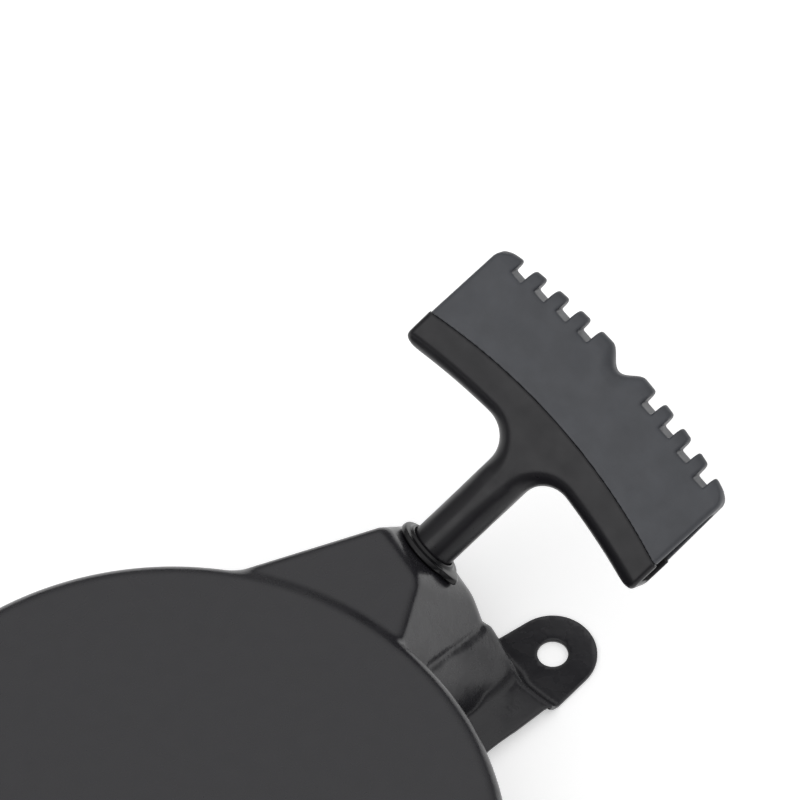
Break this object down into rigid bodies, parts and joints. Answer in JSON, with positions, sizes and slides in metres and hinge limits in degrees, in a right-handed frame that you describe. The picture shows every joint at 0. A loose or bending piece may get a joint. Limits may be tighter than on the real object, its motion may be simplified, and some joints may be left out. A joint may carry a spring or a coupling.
{
  "type": "recoil starter",
  "caption": "Pull-cord recoil starter: round pressed steel cover with flat bolt ears, angled rope exit with eyelet, and a T-handle with a notched grip.",
  "frame": {"origin": "centre of the cover's flat outer face, on the crank axis", "axes": "+Z along the crank axis, away from the engine; the ears' undersides lie at z = -50 mm; the rope leaves towards +X and +Y"},
  "size_m": [0.269, 0.2846, 0.0948],
  "materials": {
    "coated_steel": "satin black powder coat with fine orange peel",
    "handle_plastic": "smooth moulded black plastic, soft sheen",
    "grip_plastic": "fine matte grain, dark blue-grey",
    "eyelet_plastic": "moulded black, glossy",
    "rope_nylon": "braided nylon",
    "pulley_nylon": "glass-filled nylon, black",
    "zinc_steel": "bright zinc plate",
    "spring_steel": "blued spring steel",
    "bronze": "sintered bronze"
  },
  "bodies": {
    "housing": {"cover_shell": "coated_steel", "centre_post": "zinc_steel", "spring_case": "zinc_steel", "rewind_spring": "spring_steel", "rope_run": "rope_nylon", "rope_eyelet": "eyelet_plastic", "screw_washer": "zinc_steel", "centre_screw": "zinc_steel", "thrust_washer": "zinc_steel"},
    "pulley": {"rope_pulley": "pulley_nylon", "pulley_bush": "bronze", "rope_winding": "rope_nylon", "rope_anchor_knot": "rope_nylon", "pawl_pin_1": "zinc_steel", "pawl_pin_2": "zinc_steel", "pawl_spring_1": "spring_steel", "pawl_spring_2": "spring_steel", "brake_spring": "spring_steel"},
    "retainer": {"pawl_retainer": "zinc_steel"},
    "pawl_1": {"pawl_1": "zinc_steel"},
    "pawl_2": {"pawl_2": "zinc_steel"},
    "rope_end": {"rope_lead": "rope_nylon", "rope_end_knot": "rope_nylon", "knot_washer": "zinc_steel"},
    "handle": {"handle_body": "handle_plastic", "handle_grip": "grip_plastic"}
  },
  "joints": [
    {"name": "handle_pull", "type": "slide", "parent": "housing", "child": "rope_end", "axis": [0.6964, 0.4118, 0.5878], "range_m": [0, 1.2], "stiffness_N_per_m": 20, "springref_m": -0.6},
    {"name": "handle_swivel", "type": "hinge", "parent": "rope_end", "child": "handle", "pos_m": [0.06922, 0.103, -0.0155], "axis": [0.6964, 0.4118, 0.5878], "continuous": true},
    {"name": "pulley_spin", "type": "hinge", "parent": "housing", "child": "pulley", "pos_m": [0, 0, -0.024], "axis": [0, 0, 1], "range_deg": [-1260, 0]},
    {"name": "retainer_turn", "type": "hinge", "parent": "pulley", "child": "retainer", "pos_m": [0, 0, -0.04], "axis": [0, 0, 1], "range_deg": [0, 30], "stiffness_Nm_per_rad": 0.02, "springref_deg": -11.46},
    {"name": "pawl_swing_1", "type": "hinge", "parent": "pulley", "child": "pawl_1", "pos_m": [0.024, 0, -0.036], "axis": [0, 0, 1], "range_deg": [0, 28]},
    {"name": "pawl_swing_2", "type": "hinge", "parent": "pulley", "child": "pawl_2", "pos_m": [-0.024, 0, -0.036], "axis": [0, 0, 1], "range_deg": [0, 28]}
  ],
  "couplings": [
    {"joint": "pulley_spin", "follows": "handle_pull", "rad_per_m": -18.2},
    {"joint": "pawl_swing_1", "follows": "retainer_turn", "ratio": 0.93333},
    {"joint": "pawl_swing_2", "follows": "retainer_turn", "ratio": 0.93333}
  ]
}
